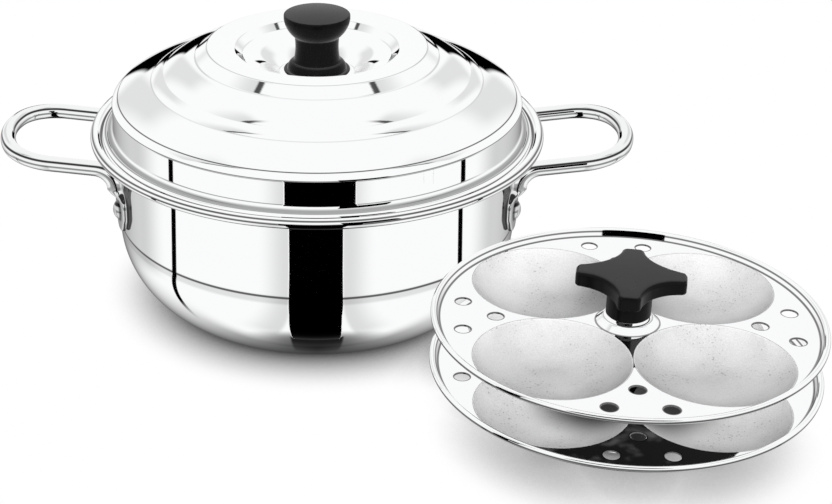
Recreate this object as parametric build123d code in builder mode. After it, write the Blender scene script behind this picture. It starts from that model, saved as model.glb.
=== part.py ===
from build123d import *
from math import asin, cos, degrees, radians, sin, sqrt
import os

os.makedirs("parts", exist_ok=True)

# Idli steamer, in millimetres: a two-handled pot with its lid on, and beside it a two-plate stand.
# The origin is the middle of the pot's base on the table, X runs through the handles, Z is up.

# Pot, drawn from one sheet with a rounded bowl, an upright wall and a ledge inside a curled rim
pot_sheet = 1.0
wall_radius = 110.9
crease_height = 49.5
bowl_radius = 52.4
base_radius = 81.6
base_corner = 12.0
ledge_height = 97.2
ledge_bend = 3.5
rim_reach = 14.1
rim_rise = 3.6
rim_bead = 5.4

# Side handles, one bent rod each, with its two ends hammered flat into riveted ears
rod_diameter = 8.3
rod_gap = 0.3
grip_arm = 23.3
grip_half_width = 36.3
grip_end_radius = 55.0
grip_corner_radius = 26.0
grip_tilt = 6.5
arm_bend = 12.0
ear_gap = 0.05
ear_thickness = 3.0
ear_half_width = 8.9
ear_drop = 24.0
ear_neck_length = 4.1
ear_neck_drop = 3.0
ear_side_length = 9.7
ear_taper_length = 8.5
ear_tip_half_width = 3.4
ear_neck_half_width = 6.4
ear_neck_half_depth = 2.9
ear_corner = 2.6

# Rivets, one through each ear and the wall
rivet_drop = 9.0
rivet_radius = 2.0
rivet_clearance = 0.1
rivet_head_radius = 5.75
rivet_head_height = 3.0
rivet_tail_radius = 4.5
rivet_tail_height = 1.5
rivet_seat_gap = 0.05

# Lid, spun from one sheet, with a curled flange, an upright band, a domed shoulder,
# a raised ring, a plateau and a sunk seat for the knob. Heights are above the lid's foot.
lid_sheet = 0.9
lid_seat_gap = 0.3
flange_play = 1.4
flange_bead = 3.2
flange_rise = 1.1
flange_run = 0.6
band_offset = 1.6
shoulder_height = 22.5
shoulder_inset = 3.6
shoulder_drop = 3.4
shoulder_arc = 11.3
dome_arc = 74.0
ring_inner_radius = 84.0
ring_crest_run = 2.8
ring_crest_drop = 0.7
ring_width = 4.5
ring_drop = 3.3
annulus_arc = 45.0
annulus_drop = 8.9
step_run = 6.4
step_drop = 5.4
plateau_height = 48.1
plateau_width = 15.2
plateau_rise = 1.0
well_lip_run = 4.3
well_lip_drop = 4.0
well_width = 20.0
well_depth = 10.6
well_arc = 34.0
seat_margin = 2.4
lid_fold_radius = 1.6
ring_fold_radius = 0.8

# Lid knob, moulded black phenolic on a threaded brass insert
knob_washer_inset = 1.2
knob_washer_thickness = 0.8
knob_height = 33.4
knob_foot_radius = 18.1
knob_foot_height = 1.4
knob_step_inset = 1.2
knob_shoulder_inset = 1.0
knob_step_height = 4.4
knob_neck_radius = 12.6
knob_neck_base = 6.2
knob_waist_radius = 11.8
knob_waist_rise = 6.3
knob_neck_top_radius = 12.2
knob_cap_flare = 10.0
knob_cap_radius = 18.0
knob_cap_mid_inset = 2.0
knob_cap_mid_drop = 5.8
knob_cap_rim = 1.6
knob_crown = 2.0
knob_cap_corner = 0.9
screw_radius = 1.75
screw_hole_clearance = 0.2
screw_head_radius = 4.6
screw_head_height = 3.0
screw_head_corner = 1.2
screw_slot_width = 1.2
screw_slot_depth = 1.4
screw_end_gap = 2.5
screw_washer_radius = 6.0
screw_washer_thickness = 1.0
thread_clearance = 0.05
lid_insert_radius = 4.5
lid_insert_length = 12.0
lid_insert_recess = 0.5

# Plate stand, a bolt through a foot, two dished plates and the tube between them
plate_sheet = 0.8
plate_rim_width = 4.3
plate_bead = 3.0
tray_depth = 4.0
tray_wall_run = 1.7
plate_spacing = 25.6
upper_deck = 54.5
upper_plate_turn = -4.5
lower_plate_turn = -2.5
dish_radius = 38.0
dish_depth = 13.0
dish_floor_radius = 10.0
dish_gap = 0.8
dish_margin = 0.9
dishes_per_plate = 4
boss_margin = 0.6
boss_wall_run = 3.5
boss_height = 3.5
vent_radius = 4.0
vent_edge = 10.7
vent_row_gap = 17.5
vent_spread = 9.9
plate_fold_radius = 1.2
stand_gap = 1.3
stand_bearing = -42.8

# Bolt, tube and foot that carry the plates
bolt_radius = 2.95
bolt_hole_clearance = 0.35
bolt_head_across = 10.0
bolt_head_height = 4.0
bolt_end_gap = 1.5
tube_radius = 6.0
foot_sheet = 1.0
foot_top_radius = 9.5
foot_neck_radius = 13.6
foot_neck_drop = 4.0
foot_waist_radius = 19.0
foot_waist_height = 15.0
foot_radius = 36.0
foot_rim_width = 4.0
foot_flare_height = 3.0
foot_fold_radius = 2.5
foot_skirt_fold_radius = 1.6

# Star knob that clamps the stack, moulded black phenolic on a threaded brass insert
star_washer_radius = 9.0
star_washer_thickness = 0.8
hub_radius = 11.1
hub_length = 15.6
star_thickness = 8.6
star_crown = 1.2
star_reach = 27.0
star_tip_half_width = 5.4
star_waist_radius = 17.0
star_corner = 3.2
star_edge = 2.2
star_lower_edge = 0.8
star_turn = -11.0
star_lobes = 4
star_insert_radius = 5.5
star_insert_length = 12.0
star_insert_recess = 0.5

overrun = 5.0


def section_at(x, y, z=0):
    """Upright plane through a vertical axis: across it is the radius, up it is the height."""
    return Plane(origin=(x, y, z), x_dir=(1, 0, 0), z_dir=(0, -1, 0))


def upright_axis(x, y):
    return Axis((x, y, 0), (0, 0, 1))


def finish(part, name):
    part.label = name
    export_step(part, f"parts/{name}.step")


# Where the ears sit: each rod end stands just clear of the wall, on the line of its ear
ear_top = ledge_height - ear_drop
ear_broad_top = ear_top - ear_neck_drop
ear_shoulder = ear_broad_top - ear_side_length
ear_tip = ear_shoulder - ear_taper_length
rivet_height = ear_top - rivet_drop
rod_radius = rod_diameter / 2
rod_end_distance = wall_radius + rod_gap + rod_radius
ear_bearing = degrees(asin(grip_half_width / rod_end_distance))
ear_face_distance = wall_radius + ear_gap + ear_thickness


def ear_plane(bearing, distance, height):
    """Plane square to the wall at an ear: across it is sideways, up it is upwards."""
    out = (cos(radians(bearing)), sin(radians(bearing)), 0)
    side = (-sin(radians(bearing)), cos(radians(bearing)), 0)
    origin = (distance * out[0], distance * out[1], height)
    return Plane(origin=origin, x_dir=side, z_dir=out)


ear_bearings = [ear_bearing, -ear_bearing, 180 - ear_bearing, 180 + ear_bearing]


def corners(sketch, x, y):
    """The two corners of a sheet's section that lie on one fold, inside and outside."""
    return sketch.vertices().sort_by_distance((x, y, 0))[:2]


def round_folds(line, folds, radius):
    """Round a drawn section line at its folds, each given by its radius and height."""
    for x, y in folds:
        fillet(line.vertices().sort_by_distance((x, y, 0))[0], radius)


# Pot body: the sheet is revolved from its section, with the curl as a round bead at its edge
rim_radius = wall_radius + rim_reach
rim_height = ledge_height + rim_rise
bead_radius = rim_bead / 2
bead_distance = rim_radius - bead_radius
bead_height = rim_height - bead_radius
ledge_underside = ledge_height - pot_sheet
ledge_start = wall_radius + ledge_bend
rivet_hole_radius = rivet_radius + rivet_clearance
with BuildPart() as pot_body:
    with BuildSketch(section_at(0, 0)) as pot_section:
        with BuildLine():
            Line((0, 0), (base_radius, 0))
            RadiusArc((base_radius, 0), (wall_radius, crease_height), -bowl_radius)
            Line((wall_radius, crease_height), (wall_radius, ledge_underside - ledge_bend))
            RadiusArc(
                (wall_radius, ledge_underside - ledge_bend),
                (ledge_start, ledge_underside),
                ledge_bend,
            )
            Line((ledge_start, ledge_underside), (bead_distance, ledge_underside))
            offset(amount=pot_sheet, side=Side.LEFT)
        make_face()
        fillet(corners(pot_section, base_radius, 0), base_corner)
        with Locations((bead_distance, bead_height)):
            Circle(bead_radius)
    revolve(axis=Axis.Z)
    for bearing in ear_bearings:
        with BuildSketch(ear_plane(bearing, wall_radius + overrun, rivet_height)):
            Circle(rivet_hole_radius)
        extrude(amount=-2 * overrun, mode=Mode.SUBTRACT)
finish(pot_body.part, "pot_body")

# Handle: a round rod swept along half a loop, its end drawn down into a flat ear, then mirrored
slope_out = cos(radians(grip_tilt))
slope_up = sin(radians(grip_tilt))
rod_end_x = rod_end_distance * cos(radians(ear_bearing))
rod_end_z = ear_top + ear_neck_length
bend_start_x = rod_end_x + arm_bend - arm_bend * slope_up
bend_start_z = rod_end_z + arm_bend * slope_out
end_turn = asin((grip_half_width - grip_corner_radius) / (grip_end_radius - grip_corner_radius))
end_inset = grip_end_radius * (1 - cos(end_turn))
corner_inset = end_inset + grip_corner_radius * cos(end_turn)
grip_reach = bend_start_x + (grip_arm + corner_inset) * slope_out
grip_height = bend_start_z + (grip_arm + corner_inset) * slope_up


def grip_point(inset, sideways):
    """A point of the rod's centre line, in the sloping plane of the grip."""
    return (grip_reach - inset * slope_out, sideways, grip_height - inset * slope_up)


with BuildPart() as right_handle:
    with BuildLine() as grip_line:
        end_arc = TangentArc(
            grip_point(0, 0),
            grip_point(end_inset, grip_end_radius * sin(end_turn)),
            tangent=(0, 1, 0),
        )
        corner_arc = TangentArc(
            end_arc @ 1, grip_point(corner_inset, grip_half_width), tangent=end_arc % 1
        )
        arm = Line(corner_arc @ 1, (bend_start_x, grip_half_width, bend_start_z))
        TangentArc(arm @ 1, (rod_end_x, grip_half_width, rod_end_z), tangent=arm % 1)
    with BuildSketch(Plane(origin=grip_point(0, 0), z_dir=(0, 1, 0))):
        Circle(rod_radius)
    sweep()
    ear_centre = wall_radius + ear_gap + ear_thickness / 2
    ear_x = cos(radians(ear_bearing))
    ear_y = sin(radians(ear_bearing))
    with BuildSketch(Plane(origin=(rod_end_x, grip_half_width, rod_end_z), x_dir=(ear_x, ear_y, 0))):
        Circle(rod_radius)
    neck_distance = (rod_end_distance + ear_centre) / 2
    neck_origin = (neck_distance * ear_x, neck_distance * ear_y, (rod_end_z + ear_top) / 2)
    with BuildSketch(Plane(origin=neck_origin, x_dir=(ear_x, ear_y, 0))):
        Ellipse(ear_neck_half_depth, ear_neck_half_width)
    ear_origin = (ear_centre * ear_x, ear_centre * ear_y, ear_broad_top)
    with BuildSketch(Plane(origin=ear_origin, x_dir=(ear_x, ear_y, 0))):
        Ellipse(ear_thickness / 2, ear_half_width)
    loft()
    with BuildSketch(ear_plane(ear_bearing, wall_radius + ear_gap, 0)) as ear_outline:
        with BuildLine():
            Polyline(
                (-ear_neck_half_width, ear_top),
                (-ear_half_width, ear_broad_top),
                (-ear_half_width, ear_shoulder),
                (-ear_tip_half_width, ear_tip),
                (ear_tip_half_width, ear_tip),
                (ear_half_width, ear_shoulder),
                (ear_half_width, ear_broad_top),
                (ear_neck_half_width, ear_top),
                close=True,
            )
        make_face()
        fillet(ear_outline.vertices(), ear_corner)
    extrude(amount=ear_thickness)
    with BuildSketch(ear_plane(ear_bearing, ear_face_distance + overrun, rivet_height)):
        Circle(rivet_hole_radius)
    extrude(amount=-2 * overrun, mode=Mode.SUBTRACT)
    mirror(about=Plane.XZ)
finish(right_handle.part, "right_handle")

with BuildPart() as left_handle:
    mirror(right_handle.part, about=Plane.YZ)
finish(left_handle.part, "left_handle")

# Rivets: a domed head outside, the shank through ear and wall, and a flatter head inside the pot
wall_inside = wall_radius - pot_sheet
tail_seat = sqrt(wall_inside**2 - rivet_tail_radius**2) - rivet_seat_gap
head_seat = ear_face_distance + rivet_seat_gap
rivet_dome = (rivet_head_radius**2 + rivet_head_height**2) / (2 * rivet_head_height)
with BuildPart() as handle_rivets:
    for bearing in ear_bearings:
        rivet_plane = ear_plane(bearing, 0, rivet_height)
        rivet_section = Plane(
            origin=rivet_plane.origin, x_dir=rivet_plane.x_dir, z_dir=-rivet_plane.y_dir
        )
        with BuildSketch(rivet_section):
            with BuildLine():
                Line((0, tail_seat - rivet_tail_height), (rivet_radius, tail_seat - rivet_tail_height))
                Line((rivet_radius, tail_seat - rivet_tail_height), (rivet_tail_radius, tail_seat))
                Polyline(
                    (rivet_tail_radius, tail_seat),
                    (rivet_radius, tail_seat),
                    (rivet_radius, head_seat),
                    (rivet_head_radius, head_seat),
                )
                RadiusArc((rivet_head_radius, head_seat), (0, head_seat + rivet_head_height), -rivet_dome)
                Line((0, head_seat + rivet_head_height), (0, tail_seat - rivet_tail_height))
            make_face()
        revolve(axis=Axis(rivet_plane.origin, rivet_plane.z_dir))
finish(handle_rivets.part, "handle_rivets")

# Lid shell: the sheet is revolved from its section, with the curl as a round bead at its edge
lid_foot = ledge_height + lid_seat_gap
flange_bead_radius = flange_bead / 2
flange_distance = rim_radius - rim_bead - flange_play - flange_bead_radius
flange_height = flange_bead_radius + flange_rise
band_radius = wall_radius + band_offset
band_top = shoulder_height - shoulder_drop
flange_start = flange_distance - flange_run
flange_bend = flange_start - band_radius
shoulder_radius = band_radius - shoulder_inset
seat_radius = knob_foot_radius + seat_margin
well_radius = seat_radius + well_width
well_height = plateau_height - well_lip_drop
seat_height = well_height - well_depth
plateau_inner_radius = well_radius + well_lip_run
plateau_outer_radius = plateau_inner_radius + plateau_width
plateau_outer_height = plateau_height + plateau_rise
step_radius = plateau_outer_radius + step_run
step_height = plateau_outer_height - step_drop
ring_inner_height = step_height - annulus_drop
ring_crest_radius = ring_inner_radius + ring_crest_run
ring_crest_height = ring_inner_height - ring_crest_drop
ring_outer_radius = ring_inner_radius + ring_width
ring_outer_height = ring_inner_height - ring_drop
screw_hole_radius = screw_radius + screw_hole_clearance
lid_folds = [
    (seat_radius, seat_height),
    (well_radius, well_height),
    (plateau_inner_radius, plateau_height),
    (plateau_outer_radius, plateau_outer_height),
    (step_radius, step_height),
    (band_radius, band_top),
]
ring_folds = [(ring_inner_radius, ring_inner_height), (ring_outer_radius, ring_outer_height)]
with BuildPart() as lid_shell:
    with BuildSketch(section_at(0, 0, lid_foot)):
        with BuildLine() as lid_line:
            Line((screw_hole_radius, seat_height), (seat_radius, seat_height))
            RadiusArc((seat_radius, seat_height), (well_radius, well_height), well_arc)
            Polyline(
                (well_radius, well_height),
                (plateau_inner_radius, plateau_height),
                (plateau_outer_radius, plateau_outer_height),
                (step_radius, step_height),
            )
            RadiusArc((step_radius, step_height), (ring_inner_radius, ring_inner_height), annulus_arc)
            ThreePointArc(
                (ring_inner_radius, ring_inner_height),
                (ring_crest_radius, ring_crest_height),
                (ring_outer_radius, ring_outer_height),
            )
            RadiusArc(
                (ring_outer_radius, ring_outer_height), (shoulder_radius, shoulder_height), dome_arc
            )
            RadiusArc((shoulder_radius, shoulder_height), (band_radius, band_top), shoulder_arc)
            Line((band_radius, band_top), (band_radius, flange_height + flange_bend))
            RadiusArc(
                (band_radius, flange_height + flange_bend), (flange_start, flange_height), -flange_bend
            )
            Line((flange_start, flange_height), (flange_distance, flange_height))
            round_folds(lid_line, lid_folds, lid_fold_radius)
            round_folds(lid_line, ring_folds, ring_fold_radius)
            offset(amount=lid_sheet, side=Side.RIGHT)
        make_face()
        with Locations((flange_distance, flange_bead_radius)):
            Circle(flange_bead_radius)
    revolve(axis=Axis.Z)
finish(lid_shell.part, "lid_shell")

# Lid fixings, from the knob's washer on top of the seat down to the screw under it
seat_level = lid_foot + seat_height
lid_underside = seat_level - lid_sheet
knob_base = seat_level + knob_washer_thickness
screw_seat = lid_underside - screw_washer_thickness
insert_bore_radius = screw_radius + thread_clearance
lid_insert_base = knob_base + lid_insert_recess
screw_top = lid_insert_base + lid_insert_length - screw_end_gap
with BuildPart() as lid_knob_washer:
    with BuildSketch(Plane.XY.offset(seat_level)):
        Circle(knob_foot_radius - knob_washer_inset)
        Circle(screw_hole_radius, mode=Mode.SUBTRACT)
    extrude(amount=knob_washer_thickness)
finish(lid_knob_washer.part, "lid_knob_washer")

with BuildPart() as lid_screw_washer:
    with BuildSketch(Plane.XY.offset(screw_seat)):
        Circle(screw_washer_radius)
        Circle(screw_hole_radius, mode=Mode.SUBTRACT)
    extrude(amount=screw_washer_thickness)
finish(lid_screw_washer.part, "lid_screw_washer")

with BuildPart() as lid_knob_screw:
    with BuildSketch(Plane.XY.offset(screw_seat)):
        Circle(screw_head_radius)
    extrude(amount=-screw_head_height)
    fillet(lid_knob_screw.edges().sort_by(Axis.Z)[0], screw_head_corner)
    with BuildSketch(Plane.XY.offset(screw_seat - screw_head_height)):
        Rectangle(2 * screw_head_radius, screw_slot_width)
        Rectangle(screw_slot_width, 2 * screw_head_radius)
    extrude(amount=screw_slot_depth, mode=Mode.SUBTRACT)
    with BuildSketch(Plane.XY.offset(screw_seat)):
        Circle(screw_radius)
    extrude(amount=screw_top - screw_seat)
finish(lid_knob_screw.part, "lid_knob_screw")

with BuildPart() as lid_knob_insert:
    with BuildSketch(Plane.XY.offset(lid_insert_base)):
        Circle(lid_insert_radius)
        Circle(insert_bore_radius, mode=Mode.SUBTRACT)
    extrude(amount=lid_insert_length)
finish(lid_knob_insert.part, "lid_knob_insert")

# Lid knob: turned form with a stepped foot, a waisted neck and a broad shallow cap
knob_top = knob_base + knob_height
cap_edge = knob_top - knob_crown
cap_low_edge = cap_edge - knob_cap_rim
cap_middle = cap_low_edge - knob_cap_mid_drop
neck_top = cap_low_edge - knob_cap_flare
neck_base = knob_base + knob_neck_base
foot_top = knob_base + knob_foot_height
foot_edge_radius = knob_foot_height / 2
foot_side = knob_foot_radius - foot_edge_radius
knob_step_radius = foot_side - knob_step_inset
cap_side = knob_cap_radius - knob_cap_corner
cap_crown_height = knob_crown - knob_cap_corner
cap_crown_arc = (cap_side**2 + cap_crown_height**2) / (2 * cap_crown_height)
with BuildPart() as lid_knob:
    with BuildSketch(section_at(0, 0)):
        with BuildLine():
            Line((0, knob_base), (foot_side, knob_base))
            ThreePointArc(
                (foot_side, knob_base),
                (knob_foot_radius, knob_base + foot_edge_radius),
                (foot_side, foot_top),
            )
            Line((foot_side, foot_top), (knob_step_radius, foot_top))
            ThreePointArc(
                (knob_step_radius, foot_top),
                (knob_step_radius - knob_shoulder_inset, knob_base + knob_step_height),
                (knob_neck_radius, neck_base),
            )
            ThreePointArc(
                (knob_neck_radius, neck_base),
                (knob_waist_radius, neck_base + knob_waist_rise),
                (knob_neck_top_radius, neck_top),
            )
            ThreePointArc(
                (knob_neck_top_radius, neck_top),
                (knob_cap_radius - knob_cap_mid_inset, cap_middle),
                (knob_cap_radius, cap_low_edge),
            )
            Line((knob_cap_radius, cap_low_edge), (knob_cap_radius, cap_edge))
            cap_corner = TangentArc(
                (knob_cap_radius, cap_edge), (cap_side, cap_edge + knob_cap_corner), tangent=(0, 1)
            )
            RadiusArc(cap_corner @ 1, (0, knob_top), -cap_crown_arc)
            Line((0, knob_top), (0, knob_base))
        make_face()
    revolve(axis=Axis.Z)
    with BuildSketch(Plane.XY.offset(knob_base)):
        Circle(screw_hole_radius)
    extrude(amount=lid_insert_recess, mode=Mode.SUBTRACT)
    with BuildSketch(Plane.XY.offset(lid_insert_base)):
        Circle(lid_insert_radius)
    extrude(amount=lid_insert_length, mode=Mode.SUBTRACT)
finish(lid_knob.part, "lid_knob")

# Stand: each plate is as large as its four dishes need, and the rims just clear the pot's wall
dish_distance = (dish_radius + dish_gap / 2) * sqrt(2)
tray_radius = dish_distance + dish_radius + dish_margin
plate_radius = tray_radius + plate_rim_width
boss_base_radius = dish_distance - dish_radius - boss_margin
boss_top_radius = boss_base_radius - boss_wall_run
vent_outer_circle = tray_radius - vent_edge
vent_inner_circle = vent_outer_circle - vent_row_gap
stand_distance = wall_radius + stand_gap + plate_radius
stand_x = stand_distance * cos(radians(stand_bearing))
stand_y = stand_distance * sin(radians(stand_bearing))
lower_deck = upper_deck - plate_spacing
bolt_hole_radius = bolt_radius + bolt_hole_clearance
dish_arc = ((dish_radius - dish_floor_radius) ** 2 + dish_depth**2) / (2 * dish_depth)
dish_outer_arc = dish_arc + plate_sheet
dish_outer_reach = dish_floor_radius + sqrt(dish_outer_arc**2 - (dish_arc - dish_depth + plate_sheet) ** 2)
plate_bead_radius = plate_bead / 2
plate_bead_distance = plate_radius - plate_bead_radius


def around_stand(distance, bearing):
    """Place at a distance from the stand's axis, in a direction seen from above."""
    return (
        stand_x + distance * cos(radians(bearing)),
        stand_y + distance * sin(radians(bearing)),
    )


def idli_plate(deck, turn):
    """One plate: a tray with a centre boss, four dishes drawn below its deck, and steam vents."""
    bead_level = deck + tray_depth - plate_bead_radius
    with BuildPart() as plate:
        with BuildSketch(section_at(stand_x, stand_y)):
            with BuildLine() as tray_line:
                tray_folds = [
                    (boss_top_radius, deck + boss_height),
                    (boss_base_radius, deck),
                    (tray_radius, deck),
                ]
                Polyline(
                    (bolt_hole_radius, deck + boss_height),
                    *tray_folds,
                    (tray_radius + tray_wall_run, bead_level),
                )
                round_folds(tray_line, tray_folds, plate_fold_radius)
                offset(amount=plate_sheet, side=Side.RIGHT)
            make_face()
            with Locations((plate_bead_distance, bead_level)):
                Circle(plate_bead_radius)
        revolve(axis=upright_axis(stand_x, stand_y))
        for k in range(dishes_per_plate):
            bearing = turn + (k + 1 / 2) * 360 / dishes_per_plate
            x, y = around_stand(dish_distance, bearing)
            with BuildSketch(Plane.XY.offset(deck + plate_sheet)):
                with Locations((x, y)):
                    Circle(dish_radius)
            extrude(amount=-dish_depth, mode=Mode.SUBTRACT)
            with BuildSketch(section_at(x, y)):
                with BuildLine():
                    Line((0, deck - dish_depth), (dish_floor_radius, deck - dish_depth))
                    RadiusArc((dish_floor_radius, deck - dish_depth), (dish_radius, deck), -dish_arc)
                    Polyline(
                        (dish_radius, deck), (dish_outer_reach, deck), (dish_outer_reach, deck - plate_sheet)
                    )
                    RadiusArc(
                        (dish_outer_reach, deck - plate_sheet),
                        (dish_floor_radius, deck - dish_depth - plate_sheet),
                        dish_outer_arc,
                    )
                    Polyline(
                        (dish_floor_radius, deck - dish_depth - plate_sheet),
                        (0, deck - dish_depth - plate_sheet),
                        (0, deck - dish_depth),
                    )
                make_face()
            revolve(axis=upright_axis(x, y))
        vents = []
        for k in range(dishes_per_plate):
            bearing = turn + k * 360 / dishes_per_plate
            vents += [
                around_stand(vent_inner_circle, bearing),
                around_stand(vent_outer_circle, bearing - vent_spread),
                around_stand(vent_outer_circle, bearing + vent_spread),
            ]
        with BuildSketch(Plane.XY.offset(deck + plate_sheet)):
            with Locations(*vents):
                Circle(vent_radius)
        extrude(amount=-3 * plate_sheet, mode=Mode.SUBTRACT)
    return plate.part


finish(idli_plate(lower_deck, lower_plate_turn), "lower_plate")
finish(idli_plate(upper_deck, upper_plate_turn), "upper_plate")

# Foot: a bell pressed from sheet, under the lower plate's boss
boss_underside = lower_deck + boss_height - plate_sheet
with BuildPart() as stand_foot:
    with BuildSketch(section_at(stand_x, stand_y)):
        with BuildLine() as foot_line:
            foot_folds = [
                (foot_top_radius, boss_underside),
                (foot_neck_radius, boss_underside - foot_neck_drop),
                (foot_waist_radius, foot_waist_height),
                (foot_radius - foot_rim_width, foot_flare_height),
            ]
            foot_edge = (foot_radius, foot_flare_height)
            Polyline((bolt_hole_radius, boss_underside), *foot_folds, foot_edge, (foot_radius, 0))
            round_folds(foot_line, foot_folds, foot_fold_radius)
            round_folds(foot_line, [foot_edge], foot_skirt_fold_radius)
            offset(amount=foot_sheet, side=Side.RIGHT)
        make_face()
    revolve(axis=upright_axis(stand_x, stand_y))
finish(stand_foot.part, "stand_foot")

# Bolt, tube between the bosses, and the washer and star knob that clamp them
foot_underside = boss_underside - foot_sheet
lower_boss_top = lower_deck + boss_height
upper_boss_top = upper_deck + boss_height
hub_base = upper_boss_top + star_washer_thickness
star_insert_base = hub_base + star_insert_recess
bolt_top = star_insert_base + star_insert_length - bolt_end_gap
stand_level = Plane(origin=(stand_x, stand_y, 0))
with BuildPart() as centre_bolt:
    with BuildSketch(stand_level.offset(foot_underside)):
        RegularPolygon(bolt_head_across / 2, 6, major_radius=False)
    extrude(amount=-bolt_head_height)
    with BuildSketch(stand_level.offset(foot_underside)):
        Circle(bolt_radius)
    extrude(amount=bolt_top - foot_underside)
finish(centre_bolt.part, "centre_bolt")

with BuildPart() as spacer_tube:
    with BuildSketch(stand_level.offset(lower_boss_top)):
        Circle(tube_radius)
        Circle(bolt_hole_radius, mode=Mode.SUBTRACT)
    extrude(amount=upper_boss_top - plate_sheet - lower_boss_top)
finish(spacer_tube.part, "spacer_tube")

with BuildPart() as star_knob_washer:
    with BuildSketch(stand_level.offset(upper_boss_top)):
        Circle(star_washer_radius)
        Circle(bolt_hole_radius, mode=Mode.SUBTRACT)
    extrude(amount=star_washer_thickness)
finish(star_knob_washer.part, "star_knob_washer")

with BuildPart() as star_knob_insert:
    with BuildSketch(stand_level.offset(star_insert_base)):
        Circle(star_insert_radius)
        Circle(bolt_radius + thread_clearance, mode=Mode.SUBTRACT)
    extrude(amount=star_insert_length)
finish(star_knob_insert.part, "star_knob_insert")

# Star knob: four hollow-sided lobes with a gentle crown, on a round hub
star_base = hub_base + hub_length
star_top = star_base + star_thickness
crown_arc = (star_reach**2 + star_crown**2) / (2 * star_crown)
lobe_plane = Plane(
    origin=(stand_x, stand_y, star_base), x_dir=(cos(radians(star_turn)), sin(radians(star_turn)), 0)
)


def lobe_point(lobe, forward, sideways):
    """A point of the outline, in the directions of one lobe."""
    a = radians(lobe * 360 / star_lobes)
    return (forward * cos(a) - sideways * sin(a), forward * sin(a) + sideways * cos(a))


with BuildPart() as star_knob:
    with BuildSketch(lobe_plane) as lobes:
        with BuildLine():
            for k in range(star_lobes):
                Line(
                    lobe_point(k, star_reach, -star_tip_half_width),
                    lobe_point(k, star_reach, star_tip_half_width),
                )
                ThreePointArc(
                    lobe_point(k, star_reach, star_tip_half_width),
                    lobe_point(k + 1 / 2, star_waist_radius, 0),
                    lobe_point(k + 1, star_reach, -star_tip_half_width),
                )
        make_face()
        fillet(lobes.vertices(), star_corner)
    extrude(amount=star_thickness)
    with Locations(stand_level.offset(star_top - crown_arc)):
        Sphere(crown_arc, rotation=(90, 0, 0), mode=Mode.INTERSECT)
    fillet(star_knob.faces().sort_by(Axis.Z)[-1].edges(), star_edge)
    fillet(star_knob.faces().sort_by(Axis.Z)[0].edges(), star_lower_edge)
    with BuildSketch(stand_level.offset(hub_base)):
        Circle(hub_radius)
    extrude(amount=hub_length)
    with BuildSketch(stand_level.offset(hub_base)):
        Circle(bolt_hole_radius)
    extrude(amount=star_insert_recess, mode=Mode.SUBTRACT)
    with BuildSketch(stand_level.offset(star_insert_base)):
        Circle(star_insert_radius)
    extrude(amount=star_insert_length, mode=Mode.SUBTRACT)
finish(star_knob.part, "star_knob")
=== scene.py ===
import math

import bmesh
import bpy
from mathutils import Matrix, Vector
from mathutils.geometry import delaunay_2d_cdt


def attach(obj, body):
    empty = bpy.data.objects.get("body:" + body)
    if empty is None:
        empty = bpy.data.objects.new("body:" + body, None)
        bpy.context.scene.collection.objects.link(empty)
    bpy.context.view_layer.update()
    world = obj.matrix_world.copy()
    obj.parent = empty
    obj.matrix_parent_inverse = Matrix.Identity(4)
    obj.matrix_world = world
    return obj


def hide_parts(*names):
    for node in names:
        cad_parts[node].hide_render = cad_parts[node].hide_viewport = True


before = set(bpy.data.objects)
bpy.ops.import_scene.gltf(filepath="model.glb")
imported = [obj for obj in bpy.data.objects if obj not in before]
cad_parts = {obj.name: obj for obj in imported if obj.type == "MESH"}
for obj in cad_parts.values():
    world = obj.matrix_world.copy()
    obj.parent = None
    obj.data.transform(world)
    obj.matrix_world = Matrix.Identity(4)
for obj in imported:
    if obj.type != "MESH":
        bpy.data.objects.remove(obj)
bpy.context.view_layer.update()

# Pot body. One stainless disc drawn to a rounded bowl and an upright wall, then rolled outwards to a
# ledge for the lid and a hollow curl. It is buffed to a mirror inside and out. Sizes are in
# millimetres, heights are above the table, and a section is a line of (radius, height) points.
mm = 0.001
round_segments = 288
wall_radius = 110.9
pot_sheet = 1.0
crease_height = 49.5
bowl_radius = 52.4
base_radius = 81.6
base_bend = 5.0
ledge_height = 97.2
ledge_bend = 3.5
rim_radius = 125.0
rim_bead = 2.7
rim_height = 100.8
bright_steel = (0.965, 0.97, 0.975)
bright_roughness = 0.02
bright_haze = 0.03


def arc(start, end, radius, steps=24):
    """Points after start, up to end, of a round stretch; it bulges left of its way, or right if negative."""
    half_chord = math.dist(start, end) / 2
    along = (Vector(end) - Vector(start)).normalized()
    left = Vector((-along.y, along.x))
    middle = (Vector(start) + Vector(end)) / 2
    half_turn = math.asin(half_chord / abs(radius))
    points = []
    for k in range(1, steps + 1):
        turn = half_turn * (2 * k / steps - 1)
        rise = radius * (math.cos(turn) - math.cos(half_turn))
        points.append(tuple(middle + along * abs(radius) * math.sin(turn) + left * rise))
    return points


def bead(centre, radius, start_degrees, end_degrees, steps=40):
    """Points round a curl, from one angle to another."""
    sweep = end_degrees - start_degrees
    angles = [math.radians(start_degrees + sweep * k / steps) for k in range(steps + 1)]
    return [(centre[0] + radius * math.cos(a), centre[1] + radius * math.sin(a)) for a in angles]


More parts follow.
